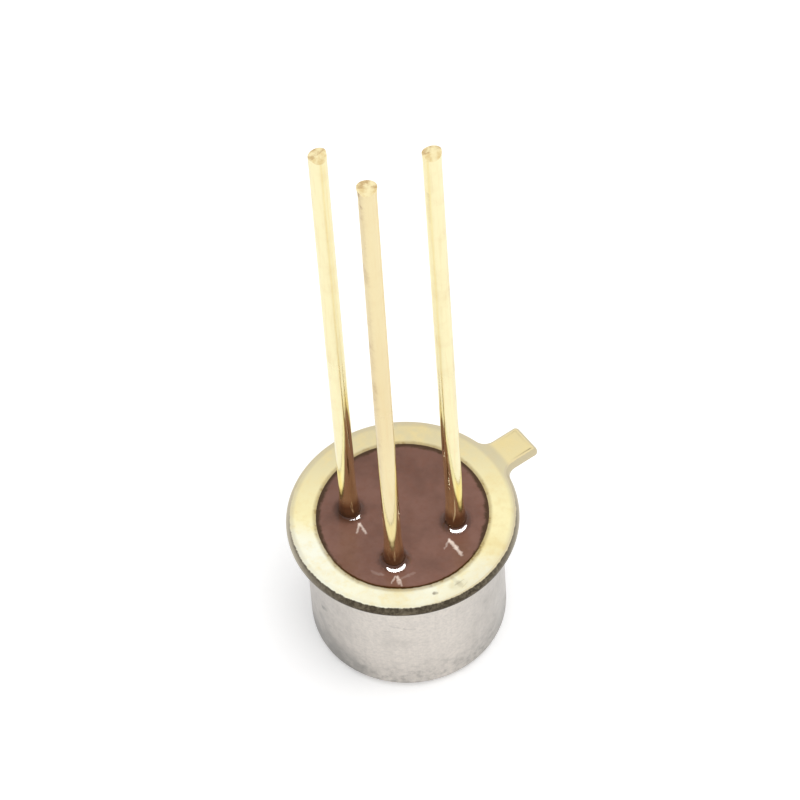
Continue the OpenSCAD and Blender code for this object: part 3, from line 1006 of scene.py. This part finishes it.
class PHOTODIODE_OT_header(bpy.types.Operator):
    """Builds the drawn header with its flange ring and tab"""

    bl_idname = "photodiode.header"
    bl_label = "Header"

    # A face whose normal is nearer to upright than this is level
    level_normal = 0.9

    def flange_outline(self, bm, sizes):
        """Draws the ring's outline with the tab along +X, and gives its face."""
        ring, fillet, corner = sizes.flange_radius, sizes.tab_fillet, sizes.tab_corner
        half = sizes.tab_width / 2
        tip = ring + sizes.tab_length
        root_y = half + fillet
        root_x = math.sqrt((ring + fillet) ** 2 - root_y**2)
        spread = math.atan2(root_y, root_x)
        bend = math.pi / 2 - spread
        vert = bm.verts.new((ring * math.cos(spread), ring * math.sin(spread), 0))
        vert = sweep(bm, vert, (0, 0, 0), math.tau - 2 * spread, TURN_STEPS)
        vert = sweep(bm, vert, (root_x, -root_y, 0), -bend, BEND_STEPS)
        vert = draw_to(bm, vert, (tip - corner, -half, 0))
        vert = sweep(bm, vert, (tip - corner, -half + corner, 0), math.pi / 2, BEND_STEPS)
        vert = draw_to(bm, vert, (tip, half - corner, 0))
        vert = sweep(bm, vert, (tip - corner, half - corner, 0), math.pi / 2, BEND_STEPS)
        vert = draw_to(bm, vert, (root_x, half, 0))
        sweep(bm, vert, (root_x, root_y, 0), -bend, BEND_STEPS)
        bmesh.ops.remove_doubles(bm, verts=bm.verts, dist=SAME_PLACE)
        return bmesh.ops.contextual_create(bm, geom=bm.edges[:])["faces"][0]

    def flange_rim(self, sizes):
        """The ring's sheared edge, open above and below."""
        bm = bmesh.new()
        face = self.flange_outline(bm, sizes)
        grown = bmesh.ops.extrude_face_region(bm, geom=[face], use_keep_orig=True)["geom"]
        verts = of_kind(grown, bmesh.types.BMVert)
        bmesh.ops.translate(bm, vec=(0, 0, sizes.seat_height - sizes.weld_height), verts=verts)
        bmesh.ops.recalc_face_normals(bm, faces=bm.faces)
        for side, rounding in ((1, sizes.upper_edge), (-1, sizes.lower_edge)):
            end = next(face for face in bm.faces if face.normal.z * side > self.level_normal)
            round_off(bm, end.edges[:], rounding)
        bmesh.ops.delete(bm, geom=[face for face in bm.faces if len(face.verts) > 4], context="FACES_ONLY")
        bmesh.ops.rotate(bm, cent=(0, 0, 0), matrix=Matrix.Rotation(sizes.tab_angle, 3, "Z"), verts=bm.verts)
        bmesh.ops.translate(bm, vec=(0, 0, sizes.weld_height), verts=bm.verts)
        return bm

    def execute(self, context):
        sizes = millimetres(context.scene.diode_header)
        looks = context.scene.diode_looks
        sheet, bore, floor = header_inside(sizes)
        bm = self.flange_rim(sizes)
        inside = [
            (bore + sizes.outer_bend + sheet / 2, sizes.seat_height, 0),
            (bore, sizes.seat_height, sizes.outer_bend),
            (bore, floor, sizes.inner_bend),
            (bore - sheet, floor, 0),
        ]
        outside = [
            (bore - sheet, sizes.platform_height, 0),
            (sizes.hat_radius, sizes.platform_height, sizes.outer_bend),
            (sizes.hat_radius, sizes.weld_height, sizes.inner_bend),
            (sizes.hat_radius + sheet, sizes.weld_height, 0),
        ]
        for corners in (inside, outside):
            take_in(bm, revolve(section(corners)))
        for node in ("lead_anode", "lead_cathode"):
            hole = circle(bm, lead_axis(node) + UP * floor, sizes.hole_radius)
            pull(bm, hole, UP * -sheet)
        for height in (sizes.seat_height, sizes.weld_height, floor, sizes.platform_height):
            fill_between(bm, rim_at(bm, height))
        plate = gold_plate(looks, sizes.flange_radius * MM, GLASS_HIGH.x, sizes.seat_height * MM)
        finish_piece(bm, "header_drawn", "header_shell", [plate])
        return {"FINISHED"}


class PHOTODIODE_OT_glass(bpy.types.Operator):
    """Builds the dished sealing glass with a collar round each lead"""

    bl_idname = "photodiode.glass"
    bl_label = "Sealing glass"

    # How large the collar round each lead is, and how steeply it climbs towards +X
    collar_shapes = {"lead_anode": (0.9, 0.0), "lead_cathode": (1.1, 0.05), "lead_case": (0.9, 0.13)}
    # The dish is opened round a lead out to this many of its radii, and filled again up to it
    opening = 1.3

    def collar(self, sizes, wall, curve):
        """The ring of glass that climbs a lead in a hollow curve."""
        bm = bmesh.new()
        foot = wall + sizes.collar_lip + curve
        start = bm.verts.new((foot, 0, 0))
        vert = sweep(bm, start, (foot, 0, curve), math.pi / 2, CURVE_STEPS, ACROSS)
        vert = draw_to(bm, vert, (wall, 0, curve))
        vert = draw_to(bm, vert, (wall, 0, -sizes.collar_depth))
        vert = draw_to(bm, vert, (foot, 0, -sizes.collar_depth))
        bm.edges.new((vert, start))
        return revolve(bm, WIRE_STEPS)

    def body(self, sizes, header, dish_centre, dish_radius):
        """The dished face and the wall that follows the header, open below."""
        sheet, bore, floor = header_inside(header)
        edge = header.seat_height - sizes.edge_drop
        bm = bmesh.new()
        middle = bm.verts.new((0, 0, edge - sizes.dish))
        sweep(bm, middle, dish_centre, -math.asin(sizes.radius / dish_radius), CURVE_STEPS, ACROSS)
        revolve(bm)
        wall = bmesh.new()
        bend_centre = (bore + header.outer_bend, 0, header.seat_height - header.outer_bend)
        turn = math.acos(1 - sizes.edge_drop / header.outer_bend)
        vert = wall.verts.new((sizes.radius, 0, edge))
        vert = sweep(wall, vert, bend_centre, turn - math.pi / 2, BEND_STEPS, ACROSS)
        vert = draw_to(wall, vert, (bore, 0, floor + header.inner_bend))
        corner_centre = (bore - header.inner_bend, 0, floor + header.inner_bend)
        sweep(wall, vert, corner_centre, math.pi / 2, BEND_STEPS, ACROSS)
        take_in(bm, revolve(wall))
        bmesh.ops.remove_doubles(bm, verts=bm.verts, dist=SAME_PLACE)
        return bm

    def open_for_lead(self, bm, node, surface, header, leads):
        """Opens the glass round a lead, and closes it along the lead and its hole or head."""
        axis = lead_axis(node)
        sheet, _, floor = header_inside(header)
        clear = leads.radius * self.opening

        def is_above(vert):
            return vert.co.z > floor + sheet

        def is_near(vert):
            return math.hypot(vert.co.x - axis.x, vert.co.y - axis.y) < clear and is_above(vert)

        opened = [face for face in bm.faces if any(map(is_near, face.verts))]
        bmesh.ops.delete(bm, geom=opened, context="FACES")
        gap = [edge for edge in bm.edges if len(edge.link_faces) == 1 and is_above(edge.verts[0])]
        rim = circle(bm, axis + UP * surface(axis), leads.radius)
        for vert in rim_verts(rim):
            vert.co.z = surface(vert.co)
        fill_between(bm, gap + rim)
        if node == "lead_case":
            seat_radius, rise, foot = leads.head_radius, leads.head_thickness, floor + leads.head_thickness
        else:
            seat_radius, rise, foot = header.hole_radius, -sheet, header.platform_height
        step = pull(bm, circle(bm, axis + UP * floor, seat_radius), UP * rise)
        rim = pull(bm, rim, (0, 0, 0))
        for vert in rim_verts(rim):
            vert.co.z = foot
        fill_between(bm, rim + step)

    def execute(self, context):
        sizes = millimetres(context.scene.diode_glass)
        header = millimetres(context.scene.diode_header)
        leads = millimetres(context.scene.diode_leads)
        looks = context.scene.diode_looks
        dish_radius = (sizes.radius**2 + sizes.dish**2) / (2 * sizes.dish)
        dish_low = header.seat_height - sizes.edge_drop - sizes.dish
        dish_centre = Vector((0, 0, dish_low + dish_radius))

        def surface(place):
            return dish_centre.z - math.sqrt(dish_radius**2 - place.x**2 - place.y**2)

        bm = self.body(sizes, header, dish_centre, dish_radius)
        collars = bmesh.new()
        axes = [lead_axis(node) for node in LEAD_NODES]
        for node, axis in zip(LEAD_NODES, axes):
            share, climb = self.collar_shapes[node]
            curve = sizes.collar_radius * share
            ring = self.collar(sizes, leads.radius, curve)
            slope = Matrix.Identity(4)
            slope[2][0], slope[2][1] = axis.x / dish_radius + climb, axis.y / dish_radius
            base = surface(axis) - sizes.collar_sink - climb * (leads.radius + curve)
            bmesh.ops.transform(ring, matrix=Matrix.Translation(axis + UP * base) @ slope, verts=ring.verts)
            take_in(collars, ring)
            self.open_for_lead(bm, node, surface, header, leads)
        _, _, floor = header_inside(header)
        fill_between(bm, rim_at(bm, floor))
        glass = seal_glass(looks, axes, sizes.radius * MM)
        finish_piece(bm, "glass_dished", "glass_fill", [glass], even=False)
        finish_piece(collars, "glass_collars", "glass_fill", [glass], even=False)
        return {"FINISHED"}


class PHOTODIODE_OT_leads(bpy.types.Operator):
    """Builds the three leads with their cut ends"""

    bl_idname = "photodiode.leads"
    bl_label = "Leads"

    # Spread of the end, then each stroke of the cutter as (slope, direction, depth at the axis, finish)
    # Finish 2 goes on the facets that face the front and is painted lighter there, a painted highlight
    cuts = {
        "lead_anode": (0.05, ((20, 130, 0.08, 1), (30, -70, 0.05, 2))),
        "lead_cathode": (0.09, ((16, 100, 0.10, 1), (34, -80, 0.04, 2))),
        "lead_case": (0.0, ((18, 165, 0.08, 1), (36, -50, 0.04, 2))),
    }
    # The angle in degrees from which an edge of a lead stays sharp
    crease = 28

    def inner_end(self, node, sizes, foot):
        """Corners of a lead's end in the can: a welded head on the case lead, plain on the others."""
        if node != "lead_case":
            return [(0, foot, 0), (sizes.radius, foot, sizes.end_rounding)]
        shoulder = foot + sizes.head_thickness
        return [
            (0, foot, 0),
            (sizes.head_radius, foot, 0),
            (sizes.head_radius, shoulder, 0),
            (sizes.radius, shoulder, 0),
        ]

    def wall(self, sizes, seat, top, spread):
        """Corners of a lead's wall, thicker where it leaves the glass and spread at its end."""
        end_radius = sizes.radius * (1 + spread)
        return [
            (sizes.radius, seat - sizes.foot_swell / 2, 0),
            (sizes.radius + sizes.foot_swell, seat, sizes.foot_swell / 3),
            (sizes.radius, seat + sizes.foot_height, sizes.foot_height / 5),
            (sizes.radius, top - sizes.flare_length, sizes.flare_length / 4),
            (end_radius, top - sizes.flare_length / 3, 0),
            (end_radius, top, 0),
            (0, top, 0),
        ]

    def cut(self, bm, top, slope, direction, depth, finish):
        """Cuts a lead's end along a sloping plane."""
        tilt, turn = math.radians(slope), math.radians(direction)
        result = bmesh.ops.bisect_plane(
            bm,
            geom=bm.verts[:] + bm.edges[:] + bm.faces[:],
            plane_co=(0, 0, top - depth),
            plane_no=(math.sin(tilt) * math.cos(turn), math.sin(tilt) * math.sin(turn), math.cos(tilt)),
            dist=SAME_PLACE / 10,
            clear_outer=True,
        )
        edges = of_kind(result["geom_cut"], bmesh.types.BMEdge)
        for face in bmesh.ops.contextual_create(bm, geom=edges)["faces"]:
            face.material_index = finish

    def execute(self, context):
        sizes = millimetres(context.scene.diode_leads)
        seat = millimetres(context.scene.diode_header).seat_height
        looks = context.scene.diode_looks
        materials = [
            lead_gold(looks, seat * MM),
            cut_end("cut_end", looks.cut_end, looks.cut_smear),
            cut_end("cut_smear", looks.cut_plate, looks.cut_smear),
        ]
        for node in LEAD_NODES:
            low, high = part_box(node)
            foot, top = low.z / MM, high.z / MM
            spread, strokes = self.cuts[node]
            corners = self.inner_end(node, sizes, foot) + self.wall(sizes, seat, top, spread)
            bm = revolve(section(corners), WIRE_STEPS)
            for stroke in strokes:
                self.cut(bm, top, *stroke)
            ridge = [edge for edge in bm.edges if all(face.material_index for face in edge.link_faces)]
            round_off(bm, ridge, sizes.ridge_rounding, segments=BEND_STEPS // 2)
            if node == "lead_cathode":
                lean = Matrix.Identity(4)
                lean[0][2], lean[1][2] = sizes.lean_x / (top - foot), sizes.lean_y / (top - foot)
                bmesh.ops.transform(bm, matrix=lean, space=Matrix.Translation((0, 0, -foot)), verts=bm.verts)
            bmesh.ops.translate(bm, vec=lead_axis(node), verts=bm.verts)
            finish_piece(bm, node + "_wire", node, materials, crease=self.crease)
        return {"FINISHED"}


class PHOTODIODE_OT_chip(bpy.types.Operator):
    """Finishes the chip, its carrier and the bond wires"""

    bl_idname = "photodiode.chip"
    bl_label = "Chip and wires"

    def execute(self, context):
        looks = context.scene.diode_looks
        dress_nodes(chip_face(looks), "photodiode_chip")
        tones = (looks.alumina, looks.alumina_shade)
        dress_nodes(cloudy("alumina", tones, patch=0.0002, roughness=(0.5, 0.65)), "submount")
        tones = (looks.solder, looks.solder_dull)
        solder = cloudy("solder", tones, patch=0.0003, roughness=(0.3, 0.45), metallic=1.0)
        dress_nodes(solder, "submount_solder", "chip_solder")
        tones = (looks.bond_gold, looks.bond_gold_deep)
        wire = cloudy("bond_gold", tones, patch=0.0002, roughness=(0.15, 0.30), metallic=1.0)
        dress_nodes(wire, "wire_anode", "wire_cathode")
        return {"FINISHED"}


class PHOTODIODE_OT_stage(bpy.types.Operator):
    """Builds the floor, the light and the camera"""

    bl_idname = "photodiode.stage"
    bl_label = "Stage"

    floor_radius = 1.5
    floor_steps = 96
    paper_shade = 0.99
    lamp_distance = 0.4
    sensor_width = 36.0
    clip_start = 0.001
    # Lamps: degrees to the right of the camera, degrees above the floor, width and height
    key_place = (60, 76, 0.24, 0.24)
    card_place = (10, 62, 1.3, 0.24)

    def floor(self, settings):
        """A pale floor that is a little lighter to the camera and in mirrors than it is."""
        bm = bmesh.new()
        bmesh.ops.create_circle(bm, cap_ends=True, segments=self.floor_steps, radius=self.floor_radius)
        mesh = new_mesh(bm, "floor")
        finish = Finish("floor_pale", settings.floor)
        finish.shader["Specular IOR Level"].default_value = 0.1
        paper = finish.mottle(patch=0.02, low=0.3, high=0.7)
        finish.tint([value * self.paper_shade for value in settings.floor], paper)
        finish.shader["Emission Color"].default_value = (1, 1, 1, 1)
        path = finish.tree.nodes.new("ShaderNodeLightPath").outputs
        seen = finish.times(path["Is Camera Ray"], settings.floor_seen)
        mirrored = finish.times(path["Is Glossy Ray"], settings.floor_mirrored)
        finish.feed(finish.shader["Emission Strength"], finish.plus(seen, mirrored))
        mesh.materials.append(finish.done(roughness=0.9))
        new_object("floor", mesh)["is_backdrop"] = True

    def sky(self, scene, settings):
        """Even light from all round, white in mirrors."""
        world = bpy.data.worlds.new("Sky")
        world.use_nodes = True
        nodes = Nodes(world.node_tree)
        background = nodes.tree.nodes["Background"].inputs
        background["Color"].default_value = (1, 1, 1, 1)
        path = nodes.tree.nodes.new("ShaderNodeLightPath").outputs
        shown = nodes.math("MAXIMUM", path["Is Camera Ray"], path["Is Glossy Ray"])
        shown = nodes.math("MAXIMUM", shown, path["Is Transmission Ray"])
        nodes.feed(background["Strength"], nodes.between(shown, settings.sky, 1.0))
        scene.world = world

    def facing(self, azimuth, elevation, roll=0.0):
        """The turn of something that looks at the part from a direction."""
        right = Vector((math.cos(azimuth), math.sin(azimuth), 0))
        back = UP.cross(right) * -math.cos(elevation) + UP * math.sin(elevation)
        up = back.cross(right)
        turned_right = right * math.cos(roll) + up * math.sin(roll)
        turned_up = up * math.cos(roll) - right * math.sin(roll)
        return Matrix((turned_right, turned_up, back)).transposed().to_4x4()

    def lamp(self, name, shape, azimuth, place, brightness):
        """A flat lamp that faces the part, as bright as a surface of that brightness."""
        right, above, width, height = place
        data = bpy.data.lights.new(name, "AREA")
        data.shape = shape
        data.size = width
        data.size_y = height
        data.energy = brightness * math.pi * width * height
        lamp = new_object(name, data)
        lamp.matrix_world = self.facing(azimuth + math.radians(right), math.radians(above))
        lamp.location = lamp.matrix_world.col[2].to_3d() * self.lamp_distance
        return lamp

    def lamps(self, settings):
        """A soft lamp, and a card that lights only the glass collars."""
        # The key's level is what reaches the part, whatever the lamp's size and distance
        width, height = self.key_place[2:]
        spread = math.pi * self.lamp_distance**2 / (width * height)
        key = self.lamp("Soft_key", "RECTANGLE", settings.azimuth, self.key_place, settings.key * spread)
        key.visible_glossy = False
        collars = bpy.data.collections.new("Glint")
        collars.objects.link(bpy.data.objects["glass_collars"])
        card = self.lamp("Glint_card", "ELLIPSE", settings.azimuth, self.card_place, settings.glint)
        card.light_linking.receiver_collection = collars
        card.visible_diffuse = False
        card.visible_camera = False

    def camera(self, scene, settings):
        """The camera, at the photograph's angle."""
        data = bpy.data.cameras.new("Camera")
        data.lens = settings.focal_length
        data.sensor_width = self.sensor_width
        data.clip_start = self.clip_start
        camera = new_object("Camera", data)
        turn = self.facing(settings.azimuth, settings.elevation, settings.roll)
        aim = Matrix.Rotation(settings.azimuth, 3, "Z") @ Vector((settings.aim_right, settings.aim_behind, 0))
        camera.matrix_world = Matrix.Translation(aim + turn.col[2].to_3d() * settings.distance) @ turn
        scene.camera = camera

    def execute(self, context):
        scene = context.scene
        settings = scene.diode_stage
        scene.view_settings.view_transform = "Standard"
        self.floor(settings)
        self.sky(scene, settings)
        self.lamps(settings)
        self.camera(scene, settings)
        return {"FINISHED"}


class PHOTODIODE_PT_builder(bpy.types.Panel):
    """Lists the sizes, the colours and the steps"""

    bl_idname = "PHOTODIODE_PT_builder"
    bl_label = "Photodiode"
    bl_space_type = "VIEW_3D"
    bl_region_type = "UI"
    bl_category = "Photodiode"

    def draw(self, context):
        for name in GROUPS:
            box = self.layout.box()
            group = getattr(context.scene, name)
            for key in type(group).__annotations__:
                box.prop(group, key)
        for operator in OPERATORS:
            self.layout.operator(operator.bl_idname)


GROUPS = {
    "diode_can": CanSizes,
    "diode_header": HeaderSizes,
    "diode_glass": GlassSizes,
    "diode_leads": LeadSizes,
    "diode_looks": Looks,
    "diode_stage": StageSettings,
}
OPERATORS = (
    PHOTODIODE_OT_cap,
    PHOTODIODE_OT_window,
    PHOTODIODE_OT_header,
    PHOTODIODE_OT_glass,
    PHOTODIODE_OT_leads,
    PHOTODIODE_OT_chip,
    PHOTODIODE_OT_stage,
)
CLASSES = (*GROUPS.values(), *OPERATORS, PHOTODIODE_PT_builder)


def register():
    """Registers the classes and gives the scene its groups."""
    for kind in CLASSES:
        bpy.utils.register_class(kind)
    for name, group in GROUPS.items():
        setattr(bpy.types.Scene, name, bpy.props.PointerProperty(type=group))


def unregister():
    """Takes the groups and the classes away again."""
    for name in GROUPS:
        delattr(bpy.types.Scene, name)
    for kind in reversed(CLASSES):
        bpy.utils.unregister_class(kind)


def main():
    """Builds the pieces and the stage."""
    register()
    bpy.ops.photodiode.cap()
    bpy.ops.photodiode.window()
    bpy.ops.photodiode.header()
    bpy.ops.photodiode.glass()
    bpy.ops.photodiode.leads()
    bpy.ops.photodiode.chip()
    bpy.ops.photodiode.stage()
    boxes = {"cad": CAD_BOX, "visual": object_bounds()}
    {name: [list(corner) for corner in box] for name, box in boxes.items()}


if __name__ == "__main__":
    main()
